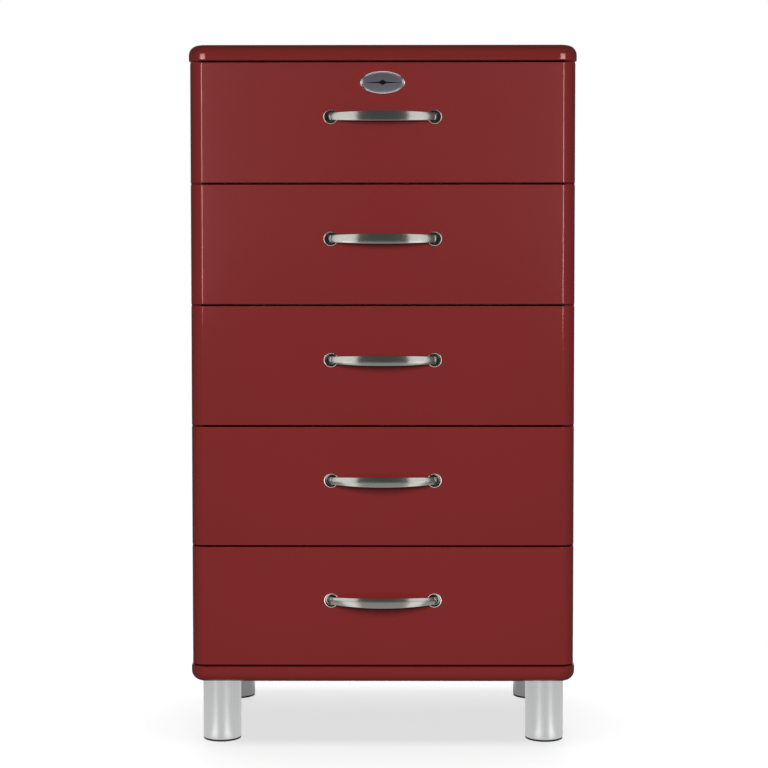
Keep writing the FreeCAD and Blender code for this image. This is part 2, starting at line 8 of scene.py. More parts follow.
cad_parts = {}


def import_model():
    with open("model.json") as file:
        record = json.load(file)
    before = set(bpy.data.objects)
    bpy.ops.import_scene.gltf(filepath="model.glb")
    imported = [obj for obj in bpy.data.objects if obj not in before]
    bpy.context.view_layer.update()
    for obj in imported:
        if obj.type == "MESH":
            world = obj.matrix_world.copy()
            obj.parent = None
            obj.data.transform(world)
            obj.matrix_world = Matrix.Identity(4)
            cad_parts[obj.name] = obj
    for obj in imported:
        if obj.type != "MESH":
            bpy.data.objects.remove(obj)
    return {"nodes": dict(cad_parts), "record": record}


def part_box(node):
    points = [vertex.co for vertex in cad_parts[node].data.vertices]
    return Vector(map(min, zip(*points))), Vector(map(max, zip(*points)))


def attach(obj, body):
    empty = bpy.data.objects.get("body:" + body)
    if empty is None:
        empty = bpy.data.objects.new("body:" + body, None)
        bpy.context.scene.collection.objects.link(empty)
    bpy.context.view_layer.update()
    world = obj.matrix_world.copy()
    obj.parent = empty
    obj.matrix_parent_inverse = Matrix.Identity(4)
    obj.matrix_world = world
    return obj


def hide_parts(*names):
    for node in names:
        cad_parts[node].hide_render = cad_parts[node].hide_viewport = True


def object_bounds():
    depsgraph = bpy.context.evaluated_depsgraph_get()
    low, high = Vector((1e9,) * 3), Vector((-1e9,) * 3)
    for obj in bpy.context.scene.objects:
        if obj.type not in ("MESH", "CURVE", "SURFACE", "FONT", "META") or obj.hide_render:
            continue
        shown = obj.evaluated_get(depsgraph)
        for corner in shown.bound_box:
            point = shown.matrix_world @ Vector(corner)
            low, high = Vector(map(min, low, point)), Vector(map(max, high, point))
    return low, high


# A five-drawer lacquered chest. The CAD nodes keep their shapes and get worked-out finishes; the
# handles, their cups and the badge are finer meshes that stand for their plain CAD nodes. Metres,
# +Z up, the drawers face -Y.

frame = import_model()
cad_low, cad_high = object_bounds()

nodes = frame["nodes"]
subparts = frame["record"]["subparts"]
DRAWERS = range(1, 6)  # from the top down
FRONTS = [f"drawer_{drawer}_front" for drawer in DRAWERS]
SIDES = (-1, 1)
QUARTER = math.pi / 2       # turn


def spaced(start, end, count):
    """Values from start to end, both included, in so many equal steps."""
    return [start + (end - start) * k / count for k in range(count + 1)]


# ---- node helpers ----

def new_material(name):
    """A material with its node tree, its Principled shader and object coordinates."""
    material = bpy.data.materials.new(name)
    material.use_nodes = True
    tree = material.node_tree
    shader = tree.nodes["Principled BSDF"]
    place = tree.nodes.new("ShaderNodeTexCoord").outputs["Object"]
    return material, tree, shader, place


def feed(tree, value, socket):
    """Give a socket another node's output, a colour or a number."""
    if isinstance(value, bpy.types.NodeSocket):
        tree.links.new(value, socket)
    elif isinstance(value, tuple):
        socket.default_value = (*value, 1.0)
    else:
        socket.default_value = value


def noise(tree, vector, scale, detail=3.0, roughness=0.5):
    """Noise with features about 1 / scale metres across; returns its 0..1 value."""
    node = tree.nodes.new("ShaderNodeTexNoise")
    node.inputs["Scale"].default_value = scale
    node.inputs["Detail"].default_value = detail
    node.inputs["Roughness"].default_value = roughness
    feed(tree, vector, node.inputs["Vector"])
    return node.outputs["Fac"]


def grain(tree, place, along, across, lengthwise, detail, roughness):
    """Noise drawn out along one axis, from its scales across that axis and lengthwise."""
    mapping = tree.nodes.new("ShaderNodeMapping")
    scales = [lengthwise if axis == along else across for axis in "XYZ"]
    mapping.inputs["Scale"].default_value = scales
    feed(tree, place, mapping.inputs["Vector"])
    return noise(tree, mapping.outputs["Vector"], 1.0, detail, roughness)


def spread(tree, value, low, high, from_low=0.3, from_high=0.7):
    """Remap the range where most of a noise value lies to low..high."""
    node = tree.nodes.new("ShaderNodeMapRange")
    node.inputs["From Min"].default_value = from_low
    node.inputs["From Max"].default_value = from_high
    node.inputs["To Min"].default_value = low
    node.inputs["To Max"].default_value = high
    feed(tree, value, node.inputs["Value"])
    return node.outputs["Result"]


def mixed(tree, factor, first, second):
    """Two colours mixed by a factor; each of the three may be another node's output."""
    node = tree.nodes.new("ShaderNodeMix")
    node.data_type = "RGBA"
    feed(tree, factor, node.inputs["Factor"])
    feed(tree, first, node.inputs["A"])
    feed(tree, second, node.inputs["B"])
    return node.outputs["Result"]


def surface(tree, shader, colour, roughness, bumps=(), metallic=0.0):
    """Set a finish; each bump is a (height socket, depth in metres, strength)."""
    feed(tree, colour, shader.inputs["Base Color"])
    feed(tree, roughness, shader.inputs["Roughness"])
    shader.inputs["Metallic"].default_value = metallic
    target = shader.inputs["Normal"]
    for height, depth, strength in reversed(bumps):
        node = tree.nodes.new("ShaderNodeBump")
        node.inputs["Distance"].default_value = depth
        node.inputs["Strength"].default_value = strength
        feed(tree, height, node.inputs["Height"])
        feed(tree, node.outputs["Normal"], target)
        target = node.inputs["Normal"]


# ---- materials ----

def red_lacquer():
    """Sprayed semi-gloss lacquer on MDF: an even dark red with faint orange peel."""
    material, tree, shader, place = new_material("red_lacquer")
    cloud = noise(tree, place, scale=5.0, detail=2.0)
    dust = noise(tree, place, scale=900.0, detail=1.0)
    peel = noise(tree, place, scale=260.0, detail=2.0, roughness=0.4)
    colour = mixed(tree, cloud, (0.242, 0.0248, 0.0237), (0.254, 0.0268, 0.0257))
    surface(tree, shader, colour, spread(tree, dust, 0.10, 0.135), [(peel, 0.0004, 0.012)])
    shader.inputs["Specular IOR Level"].default_value = 0.8
    shader.inputs["Specular Tint"].default_value = (1.0, 0.56, 0.56, 1.0)
    shader.inputs["Coat Weight"].default_value = 0.09
    shader.inputs["Coat Roughness"].default_value = 0.06
    return material


BRUSH_DEPTH = 0.00008


def brushed_metal(name, dark, light, roughness, along):
    """Metal brushed along one axis: long fine scratches that vary its tone, gloss and height."""
    material, tree, shader, place = new_material(name)
    scratches = grain(tree, place, along, across=2600.0, lengthwise=18.0, detail=2.0, roughness=0.6)
    streaks = grain(tree, place, along, across=500.0, lengthwise=6.0, detail=2.0, roughness=0.5)
    surface(tree, shader, mixed(tree, streaks, dark, light),
            spread(tree, scratches, roughness - 0.06, roughness + 0.08),
            [(scratches, BRUSH_DEPTH, 0.12), (streaks, BRUSH_DEPTH, 0.06)], metallic=1.0)
    return material


def chrome():
    """Polished chrome with faint buffing haze."""
    material, tree, shader, place = new_material("chrome")
    haze = noise(tree, place, scale=140.0)
    surface(tree, shader, mixed(tree, haze, (0.66, 0.62, 0.60), (0.70, 0.665, 0.64)),
            spread(tree, haze, 0.06, 0.12), [(haze, 0.00004, 0.15)], metallic=1.0)
    return material


def zinc(name):
    """Zinc-plated pressed steel: a dull crystalline grey."""
    material, tree, shader, place = new_material(name)
    cells = tree.nodes.new("ShaderNodeTexVoronoi")
    cells.inputs["Scale"].default_value = 420.0
    feed(tree, place, cells.inputs["Vector"])
    crystals = cells.outputs["Distance"]
    surface(tree, shader, mixed(tree, crystals, (0.46, 0.48, 0.50), (0.58, 0.60, 0.62)),
            spread(tree, noise(tree, place, scale=600.0), 0.32, 0.46),
            [(crystals, 0.00005, 0.2)], metallic=1.0)
    return material


def black_plastic():
    """Moulded glide plastic with a fine spark-eroded texture."""
    material, tree, shader, place = new_material("black_plastic")
    spark = noise(tree, place, scale=1500.0, detail=2.0)
    surface(tree, shader, mixed(tree, spark, (0.022, 0.022, 0.023), (0.034, 0.034, 0.035)),
            spread(tree, spark, 0.45, 0.6), [(spark, 0.0001, 0.4)])
    return material


def birch_foil():
    """Foil-wrapped drawer board printed with a pale straight birch grain along Y."""
    material, tree, shader, place = new_material("birch_foil")
    wide = grain(tree, place, "Y", across=55.0, lengthwise=2.2, detail=4.0, roughness=0.6)
    fine = grain(tree, place, "Y", across=700.0, lengthwise=14.0, detail=2.0, roughness=0.5)
    wood = mixed(tree, wide, (0.52, 0.40, 0.27), (0.66, 0.55, 0.40))
    between_pores = spread(tree, fine, 0.0, 1.0, from_low=0.35, from_high=0.5)
    surface(tree, shader, mixed(tree, between_pores, (0.47, 0.35, 0.23), wood),
            spread(tree, wide, 0.42, 0.52), [(fine, 0.0001, 0.25)])
    return material


def hardboard():
    """Painted hardboard: a sandy beige, with pressed fibres showing through."""
    material, tree, shader, place = new_material("hardboard")
    fibres = grain(tree, place, "Z", across=160.0, lengthwise=900.0, detail=5.0, roughness=0.7)
    blotch = noise(tree, place, scale=9.0)
    paint = mixed(tree, blotch, (0.50, 0.41, 0.31), (0.58, 0.49, 0.38))
    fleck = mixed(tree, fibres, (0.40, 0.32, 0.23), (0.66, 0.57, 0.45))
    surface(tree, shader, mixed(tree, 0.4, paint, fleck),
            spread(tree, fibres, 0.55, 0.72), [(fibres, 0.0002, 0.3)])
    return material


def dark_enamel():
    """The badge's inlaid bar."""
    material, tree, shader, place = new_material("dark_enamel")
    cloud = noise(tree, place, scale=900.0)
    surface(tree, shader, mixed(tree, cloud, (0.012, 0.012, 0.018), (0.02, 0.02, 0.028)),
            spread(tree, cloud, 0.2, 0.3))
    return material


# The finish of each of the record's material slots, and two more for the finer meshes.
MATERIALS = {
    "red_lacquer": red_lacquer(),
    "box_board": birch_foil(),
    "hardboard": hardboard(),
    "runner_steel": zinc("runner_steel"),
    "brushed_nickel": brushed_metal("brushed_nickel", (0.45, 0.45, 0.415), (0.53, 0.525, 0.49), 0.16, "X"),
    "chrome": chrome(),
    "brushed_leg": brushed_metal("brushed_leg", (0.70, 0.705, 0.705), (0.80, 0.805, 0.805), 0.36, "Z"),
    "black_plastic": black_plastic(),
    "zinc_plated": zinc("zinc_plated"),
}
# The cups' bowls get a dark metal: painted shade for the dark inside of each cup.
SHADED_BOWL_METAL = brushed_metal("bowl_painted_shade", (0.16, 0.16, 0.15), (0.22, 0.22, 0.20), 0.2, "Y")
BADGE_METAL = brushed_metal("badge_metal", (0.50, 0.49, 0.60), (0.66, 0.65, 0.74), 0.34, "X")


def dress_nodes():
    """Give every CAD node the finish of its material slot."""
    for part in subparts:
        for holder in nodes[part["node"]].material_slots:
            holder.material = MATERIALS[part["material_slot"]]


# ---- meshes ----

def new_piece(name, mesh, material, smooth=True):
    """Turn a bmesh into an object of the scene."""
    data = bpy.data.meshes.new(name)
    mesh.to_mesh(data)
    mesh.free()
    piece = bpy.data.objects.new(name, data)
    bpy.context.scene.collection.objects.link(piece)
    data.materials.append(material)
    for face in data.polygons:
        face.use_smooth = smooth
    return piece


def stand_in(name, mesh, material, body, node):
    """A finer mesh that rides on a body in place of one of its CAD nodes."""
    bmesh.ops.recalc_face_normals(mesh, faces=mesh.faces)
    piece = new_piece(name, mesh, material)
    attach(piece, body)
    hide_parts(node)
    return piece


def bridge(mesh, first, second):
    """Join two closed rings of equal length with a band of quads."""
    count = len(first)
    for i in range(count):
        j = (i + 1) % count
        mesh.faces.new((first[i], first[j], second[j], second[i]))


def skin(mesh, rings):
    """Join rings of equal length into a solid, closed at its two ends."""
    for first, second in zip(rings, rings[1:]):
        bridge(mesh, first, second)
    mesh.faces.new(reversed(rings[0]))
    mesh.faces.new(rings[-1])


# ---- handles ----

HANDLE_REACH = 0.028        # how far the bow's middle stands off the drawer front
HANDLE_RISE = 0.022         # how far the bow rises between its feet
HANDLE_HALF_PITCH = 0.080
HANDLE_HALF_LENGTH = 0.086
HANDLE_THICKNESS = 0.004
HANDLE_HEIGHT = 0.016
HANDLE_END_HEIGHT = 0.012
BOSS_DIAMETER = 0.012
CUP_DEPTH = 0.005
BOW_STEPS = 28              # in each half of the bow
ROLL_STEPS = 18             # where an end rolls over into its cup
ROUNDING = 1.25             # how early in its roll an end becomes round

# The bow is one arc. A smaller arc, tangent to it, brings each end square to the cup's bottom.
BOW_RADIUS = (HANDLE_HALF_PITCH ** 2 + HANDLE_RISE ** 2) / (2 * HANDLE_RISE)
BOW_CENTRE = BOW_RADIUS - HANDLE_REACH
ROLL_RADIUS = (BOW_RADIUS ** 2 - HANDLE_HALF_LENGTH ** 2 - (BOW_CENTRE - CUP_DEPTH) ** 2) / (
    2 * (BOW_RADIUS - HANDLE_HALF_LENGTH))
ROLL_CENTRE = HANDLE_HALF_LENGTH - ROLL_RADIUS
ROLL_ANGLE = math.atan2(ROLL_CENTRE, BOW_CENTRE - CUP_DEPTH)

# The strip's section, in a square from -1 to 1.
CROWN = 0.36                # how far the face falls back towards its edges
FACE_HALF = 0.91            # where the face ends, before it is drawn in
FACE_DRAWN_IN = 0.925
EDGE_SOFTNESS = 0.54
BACK_TAPER = 0.16
BACK_HOLLOW = 0.10
FACE_STEPS = 8
EDGE_STEPS = 6
SHOULDER_STEPS = 4
BACK_STEPS = 5


def strip_section():
    """The strip's outline as (outward, up): a crowned face, soft edges and a slightly hollow back."""
    half = [(1 - CROWN * up ** 2, up * FACE_DRAWN_IN) for up in spaced(0, FACE_HALF, FACE_STEPS)]
    edge_out, edge_up = half[-1]
    half += [(edge_out - EDGE_SOFTNESS * (1 - math.cos(angle)), edge_up + (1 - edge_up) * math.sin(angle))
             for angle in spaced(0, QUARTER, EDGE_STEPS)[1:]]
    shoulder = half[-1][0]
    half += [(shoulder + (BACK_HOLLOW - 1 - shoulder) * math.sin(angle),
              1 - BACK_TAPER * (1 - math.cos(angle)))
             for angle in spaced(0, QUARTER, SHOULDER_STEPS)[1:]]
    half += [(BACK_HOLLOW * share ** 2 - 1, (1 - BACK_TAPER) * share)
             for share in spaced(1, 0, BACK_STEPS)[1:]]
    lower = [(out, -up) for out, up in reversed(half[1:-1])]
    return half + lower


def eased(share):
    """A share from 0 to 1 that starts and ends gently."""
    return share * share * (3 - 2 * share)


def bow_handle(drawer):
    """A satin bow, waisted towards its ends, that rolls over into a round boss in each cup."""
    low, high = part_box(f"drawer_{drawer}_handle")
    place = Vector((0, low.y + HANDLE_REACH, (low.z + high.z) / 2))
    strip = strip_section()
    bow = [ROLL_ANGLE * k / BOW_STEPS for k in range(-BOW_STEPS, BOW_STEPS + 1)]
    roll = spaced(ROLL_ANGLE, QUARTER, ROLL_STEPS)[1:]
    mesh = bmesh.new()
    rings = []
    for angle in [-turn for turn in reversed(roll)] + bow + roll:
        outward = Vector((math.sin(angle), -math.cos(angle), 0))
        if abs(angle) <= ROLL_ANGLE:
            face = Vector((0, BOW_CENTRE, 0)) + outward * BOW_RADIUS
            share = 0.0
        else:
            face = Vector((math.copysign(ROLL_CENTRE, angle), CUP_DEPTH, 0)) + outward * ROLL_RADIUS
            share = (abs(angle) - ROLL_ANGLE) / (QUARTER - ROLL_ANGLE)
        waist = min(abs(face.x) / HANDLE_HALF_PITCH, 1)
        height = HANDLE_HEIGHT - (HANDLE_HEIGHT - HANDLE_END_HEIGHT) * waist ** 2
        thickness = HANDLE_THICKNESS + (BOSS_DIAMETER - HANDLE_THICKNESS) * eased(share)
        middle = place + face - outward * thickness / 2
        roundness = eased(min(share * ROUNDING, 1))
        ring = []
        for out, up in strip:
            scale = 1 - roundness * (1 - 1 / math.hypot(out, up))
            ring.append(mesh.verts.new(middle + outward * thickness / 2 * out * scale
                                       + Vector((0, 0, height / 2 * up * scale))))
        rings.append(ring)
    skin(mesh, rings)
    return stand_in(f"bow_handle_{drawer}", mesh, MATERIALS["brushed_nickel"],
                    f"drawer_{drawer}", f"drawer_{drawer}_handle")


# ---- cups ----

CUP_RADIUS = 0.01125
CUP_BOWL = 0.0095
CUP_PROUD = 0.0012
CUP_HOLE = 0.0022
CUP_TURNS = 64
ARC_STEPS = 12              # in each rounded stretch of a profile
RIM_SHOULDER = 0.25         # the share of its height at which the bead starts to round over
BOWL_CORNER = 0.0012
BOWL_WALL = 0.0007


def lathe(mesh, profile, centre):
    """Turn a closed loop of (radius, y) points about a Y axis through the centre."""
    rings = [[mesh.verts.new(centre + Vector((radius * math.cos(turn), y, radius * math.sin(turn))))
              for radius, y in profile]
             for turn in spaced(0, 2 * math.pi, CUP_TURNS)[:-1]]
    for first, second in zip(rings, rings[1:] + rings[:1]):
        bridge(mesh, first, second)


def rim_profile():
    """A cup's beaded rim, standing on the drawer front."""
    bead = (CUP_RADIUS - CUP_BOWL) / 2
    arc = [(CUP_RADIUS - bead * (1 - math.cos(turn)),
            -CUP_PROUD * (RIM_SHOULDER + (1 - RIM_SHOULDER) * math.sin(turn)))
           for turn in spaced(0, math.pi, ARC_STEPS)]
    return [(CUP_RADIUS, 0.0), *arc, (CUP_BOWL, 0.0)]


def bowl_profile():
    """A cup's thin bowl, let into the drawer front behind the rim and drilled for the screw."""
    arc = [(CUP_BOWL - BOWL_CORNER * (1 - math.cos(turn)), CUP_DEPTH - BOWL_CORNER * (1 - math.sin(turn)))
           for turn in spaced(0, QUARTER, ARC_STEPS)]
    back = CUP_DEPTH + BOWL_WALL
    outer = CUP_BOWL + BOWL_WALL
    return [(CUP_BOWL, 0.0), *arc, (CUP_HOLE, CUP_DEPTH), (CUP_HOLE, back), (outer, back), (outer, 0.0)]


def cups(drawer):
    """The pair of dished cups under a handle's feet: their bright rims, and their bowls in a dark metal
    that paints in the shade inside them.
    """
    node = f"drawer_{drawer}_rosettes"
    low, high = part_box(node)
    pieces = []
    for name, profile, material in (("cup_rims", rim_profile(), MATERIALS["chrome"]),
                                    ("cup_bowls", bowl_profile(), SHADED_BOWL_METAL)):
        mesh = bmesh.new()
        for side in SIDES:
            centre = Vector((side * HANDLE_HALF_PITCH, low.y + CUP_PROUD, (low.z + high.z) / 2))
            lathe(mesh, profile, centre)
        pieces.append(stand_in(f"{name}_{drawer}", mesh, material, f"drawer_{drawer}", node))
    return pieces


# ---- badge ----

badge_low, badge_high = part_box("badge")
BADGE_CENTRE = Vector(((badge_low.x + badge_high.x) / 2, badge_high.y, (badge_low.z + badge_high.z) / 2))
BADGE_HALF_WIDTH = (badge_high.x - badge_low.x) / 2
BADGE_HALF_HEIGHT = (badge_high.z - badge_low.z) / 2
BADGE_DEPTH = badge_high.y - badge_low.y
BADGE_TURNS = 96
BADGE_RIM = 0.0021
RIM_FOOT = 0.45             # where the rim's roll starts, as a share of the badge's depth
RIM_TUCK = 0.3              # where its inner edge ends under the field
FIELD_EDGE = 0.42           # where the field's edge lies
FIELD_DOME = 0.40           # how far the field rises from its edge to its middle
FIELD_OVERLAP = 0.0002      # how far the field runs under the rim
FIELD_CORE = 0.04           # the innermost ring's share of the field's size
BAR_HALF = 0.0285
BAR_HEIGHT = 0.0022
BAR_RELIEF = 0.0005
BAR_STEPS = 48
BAR_SIDES = 16
BAR_TIP = 0.004             # the share of its thickness that the bar keeps at its tips
LOZENGE_HALF = 0.0085
LOZENGE_RISE = 0.0042
LOZENGE_TOP = 0.55          # the share of its outline that the lozenge keeps at its top


def badge_piece(name, mesh, material):
    """A part of the badge, which rides with the top drawer."""
    return stand_in(name, mesh, material, "drawer_1", "badge")


def oval_ring(mesh, half_width, half_height, y):
    """A ring of points about the badge's centre; y is 0 on the drawer front and negative before it."""
    return [mesh.verts.new(BADGE_CENTRE + Vector((half_width * math.cos(turn), y,
                                                  half_height * math.sin(turn))))
            for turn in spaced(0, 2 * math.pi, BADGE_TURNS)[:-1]]


def dome(share):
    """How far the field stands off the drawer front, from its edge at 0 to its middle at 1."""
    return BADGE_DEPTH * (FIELD_EDGE + FIELD_DOME * share)


def on_dome(x, z, height):
    """A point standing a height off the domed field, x and z from the badge's centre."""
    share = 1 - (x / BADGE_HALF_WIDTH) ** 2 - (z / BADGE_HALF_HEIGHT) ** 2
    return BADGE_CENTRE + Vector((x, -dome(share) - height, z))


def badge_rim():
    """The badge's polished rolled rim and its flat back."""
    arc = [(BADGE_RIM / 2 * (1 - math.cos(turn)),
            -BADGE_DEPTH * (RIM_FOOT + (1 - RIM_FOOT) * math.sin(turn)))
           for turn in spaced(0, math.pi, ARC_STEPS)]
    profile = [(0.0, 0.0), (0.0, -RIM_FOOT * BADGE_DEPTH), *arc, (BADGE_RIM, -RIM_TUCK * BADGE_DEPTH)]
    mesh = bmesh.new()
    skin(mesh, [oval_ring(mesh, BADGE_HALF_WIDTH - inset, BADGE_HALF_HEIGHT - inset, y)
                for inset, y in profile])
    return badge_piece("badge_rim", mesh, MATERIALS["chrome"])


def badge_field():
    """The badge's domed brushed field, which runs a little under the rim."""
    half_width = BADGE_HALF_WIDTH - BADGE_RIM + FIELD_OVERLAP
    half_height = BADGE_HALF_HEIGHT - BADGE_RIM + FIELD_OVERLAP
    mesh = bmesh.new()
    skin(mesh, [oval_ring(mesh, half_width * share, half_height * share, -dome(1 - share ** 2))
                for share in spaced(1, FIELD_CORE, ARC_STEPS)])
    return badge_piece("badge_field", mesh, BADGE_METAL)


def badge_bar():
    """A plain tapered bar along the badge, with a small lozenge at its middle."""
    mesh = bmesh.new()
    rings = []
    for along in spaced(0, math.pi, BAR_STEPS):
        x = -BAR_HALF * math.cos(along)
        share = max(1 - (x / BAR_HALF) ** 2, BAR_TIP)
        rings.append([mesh.verts.new(on_dome(x, BAR_HEIGHT / 2 * share * math.cos(turn),
                                             BAR_RELIEF * share * math.sin(turn)))
                      for turn in spaced(0, 2 * math.pi, BAR_SIDES)[:-1]])
    skin(mesh, rings)
    corners = ((LOZENGE_HALF, 0), (0, LOZENGE_RISE), (-LOZENGE_HALF, 0), (0, -LOZENGE_RISE))
    levels = ((1.0, -BAR_RELIEF), (1.0, BAR_RELIEF / 2), (LOZENGE_TOP, BAR_RELIEF))
    skin(mesh, [[mesh.verts.new(on_dome(x * scale, z * scale, height)) for x, z in corners]
                for scale, height in levels])
    return badge_piece("badge_bar", mesh, dark_enamel())


# ---- studio: camera and surroundings ----

def camera():
    """A long lens in front of the chest, level with its second drawer and turned down a little."""
    data = bpy.data.cameras.new("camera")
    data.lens = 84.2
    data.sensor_width = 36.0
    data.shift_y = -0.05
    data.clip_end = 50.0
    eye = bpy.data.objects.new("camera", data)
    eye.location = (0.0161, -2.96, 0.75)
    yaw, pitch, roll = 0.0051, -0.0443, -0.0004
    eye.rotation_euler = (Matrix.Rotation(yaw, 3, "Z") @ Matrix.Rotation(QUARTER + pitch, 3, "X")
                          @ Matrix.Rotation(roll, 3, "Z")).to_euler()
    bpy.context.scene.collection.objects.link(eye)
    bpy.context.scene.camera = eye


SKY_FILL = 0.1
FLOOR_RADIUS = 4.0
FLOOR_SEGMENTS = 96
FLOOR_WHITE = (0.93, 0.93, 0.93)
FLOOR_ROUGHNESS = 0.85
FADE_START = 0.45           # metres from the chest's middle
FADE_END = 1.0
FADE_NEAR = 0.72            # how clear the floor is inside the fade


def world():
    """White for the camera, a dim even fill for everything else."""
    sky = bpy.data.worlds.new("studio")
    bpy.context.scene.world = sky
    sky.use_nodes = True
    tree = sky.node_tree
    background = tree.nodes["Background"]
    background.inputs["Color"].default_value = (1.0, 1.0, 1.0, 1.0)
    seen = tree.nodes.new("ShaderNodeLightPath")
    strength = tree.nodes.new("ShaderNodeMapRange")
    strength.inputs["To Min"].default_value = SKY_FILL
    strength.inputs["To Max"].default_value = 1.0
    feed(tree, seen.outputs["Is Camera Ray"], strength.inputs["Value"])
    feed(tree, strength.outputs["Result"], background.inputs["Strength"])


def floor():
    """A pale disc that fades into the white surroundings away from the chest."""
    mesh = bmesh.new()
    bmesh.ops.create_circle(mesh, cap_ends=True, segments=FLOOR_SEGMENTS, radius=FLOOR_RADIUS)
    material, tree, shader, place = new_material("pale_floor")
    surface(tree, shader, FLOOR_WHITE, FLOOR_ROUGHNESS)
    distance = tree.nodes.new("ShaderNodeVectorMath")
    distance.operation = "LENGTH"
    feed(tree, place, distance.inputs[0])
    fade = tree.nodes.new("ShaderNodeMapRange")
    fade.interpolation_type = "SMOOTHSTEP"
    fade.inputs["From Min"].default_value = FADE_START
    fade.inputs["From Max"].default_value = FADE_END
    fade.inputs["To Min"].default_value = FADE_NEAR
    feed(tree, distance.outputs["Value"], fade.inputs["Value"])
    clear = tree.nodes.new("ShaderNodeBsdfTransparent")
    blend = tree.nodes.new("ShaderNodeMixShader")
    feed(tree, fade.outputs["Result"], blend.inputs["Fac"])
    feed(tree, shader.outputs["BSDF"], blend.inputs[1])
    feed(tree, clear.outputs["BSDF"], blend.inputs[2])
    feed(tree, blend.outputs["Shader"], tree.nodes["Material Output"].inputs["Surface"])
    ground = new_piece("floor", mesh, material, smooth=False)
    ground.location.z = cad_low.z
    ground.visible_diffuse = False
    ground.visible_glossy = False
    return ground


# ---- studio: lights ----
# Keys give the diffuse light and are never mirrored; cards are only mirrored. Each finish has its
# own, linked to its pieces. A size is (width, height).

MIDDLE = (0.0, 0.0, 0.6)    # of the chest
FOOT = (0.0, 0.0, 0.2)


def group_of(name, pieces):
    """A collection that lights can be linked to; it isn't part of the scene's own tree."""
    group = bpy.data.collections.new(name)
    for piece in pieces:
        group.objects.link(piece)
    return group


def all_but(names):
    """Every CAD node except the named ones."""
    return [node for name, node in nodes.items() if name not in names]


def in_slot(slot):
    """The CAD nodes with one finish."""
    return [nodes[part["node"]] for part in subparts if part["material_slot"] == slot]


def area_light(name, place, target, size, radiance, receivers=None):
    """A rectangular light of a set radiance aimed at a point, linked to some of the pieces or to all."""
    width, height = size
    data = bpy.data.lights.new(name, "AREA")
    data.shape = "RECTANGLE"
    data.size = width
    data.size_y = height
    data.energy = radiance * math.pi * width * height
    lamp = bpy.data.objects.new(name, data)
    lamp.location = place
    lamp.rotation_euler = (Vector(target) - Vector(place)).to_track_quat("-Z", "Y").to_euler()
    lamp.visible_camera = False
    if receivers is not None:
        lamp.light_linking.receiver_collection = receivers
    bpy.context.scene.collection.objects.link(lamp)
    return lamp


def key(name, place, target, size, radiance, receivers=None):
    """A light for the diffuse surfaces, which nothing mirrors."""
    area_light(name, place, target, size, radiance, receivers).visible_glossy = False


def card(name, place, target, size, radiance, receivers):
    """A lit card that its receivers mirror, and that gives no diffuse light."""
    lamp = area_light(name, place, target, size, radiance, receivers)
    lamp.visible_diffuse = False
    return lamp


CARD_LIFT = 0.001           # off the floor


def floor_card(name, place, size, radiance, receivers, turn=0.0):
    """A card lying face up on the floor, turned about its middle."""
    lying = card(name, (*place, CARD_LIFT), (*place, 1.0), size, radiance, receivers)
    lying.rotation_euler = (math.pi, 0.0, turn)


CORNER_X = 0.29             # where the fronts and panels round over into their sides
CORNER_Y = -0.19


def corner_card(name, side, angles, heights, distance, radiance, receivers):
    """A standing card that a rounded front corner mirrors, between two angles off the drawers' normal."""
    near, far = map(math.radians, angles)
    low, high = heights
    middle = (near + far) / 2
    z = (low + high) / 2
    place = (side * (CORNER_X + distance * math.sin(middle)), CORNER_Y - distance * math.cos(middle), z)
    width = 2 * distance * math.tan((far - near) / 2)
    card(name, place, (side * CORNER_X, CORNER_Y, z), (width, high - low), radiance, receivers)


def body_lights():
    """Light on the carcass and the drawer boxes, from the front, the sides, behind and below."""
    rounded = ("top_panel", "bottom_panel", *FRONTS)
    body = group_of("body", all_but(("top_panel", *FRONTS)))
    carcass = group_of("carcass", all_but(rounded))
    edges = group_of("rounded", [nodes[name] for name in rounded])
    for side in SIDES:
        beside, broad = (side * 3.0, 1.1, 1.2), (2.0, 2.0)
        key(f"key_{side}", (side * 0.6, -3.0, 1.1), FOOT, size=(1.0, 1.0), radiance=10.5, receivers=body)
        key(f"side_{side}", beside, MIDDLE, broad, radiance=4.0, receivers=carcass)
        key(f"edge_{side}", beside, MIDDLE, broad, radiance=0.12, receivers=edges)
    lacquered = group_of("lacquered", in_slot("red_lacquer"))
    bottom = group_of("bottom", [nodes["bottom_panel"]])
    key("top_back", (0.0, 3.0, 2.6), MIDDLE, size=(2.4, 2.0), radiance=5.0)
    area_light("back", (0.0, 3.4, 1.2), MIDDLE, size=(2.4, 1.6), radiance=1.0, receivers=lacquered)
    key("low_key", (0.0, -2.2, 0.05), FOOT, size=(2.4, 0.4), radiance=0.2, receivers=bottom)


def top_lights():
    """Light on the top panel, and the bright patches on its two front corners."""
    top = group_of("top", [nodes["top_panel"]])
    for side in SIDES:
        key(f"cap_key_{side}", (side * 0.5, -3.2, 0.1), MIDDLE, size=(1.2, 0.8), radiance=11.6,
            receivers=top)
        corner_card(f"cap_strip_{side}", side, angles=(13.0, 32.0), heights=(0.93, 1.098), distance=0.2,
                    radiance=4.0, receivers=top)
        corner_card(f"cap_glow_{side}", side, angles=(8.0, 38.0), heights=(0.93, 1.102), distance=0.2,
                    radiance=3.6, receivers=top)
    key("top_lift", (0.0, 2.4, 2.8), MIDDLE, size=(2.4, 2.0), radiance=6.0, receivers=top)


FRONT_LIGHT = 1.15          # what each key gives its drawer front
FRONT_KEY_PLACE = (0.5, -2.8, 1.14)
FRONT_KEY_LIFT = 0.05       # how much higher each key stands than the one for the drawer above
FRONT_KEY_WIDTH = 0.8
FRONT_KEY_HEIGHT = 0.8
FRONT_KEY_GROWTH = 0.1      # how much taller it is


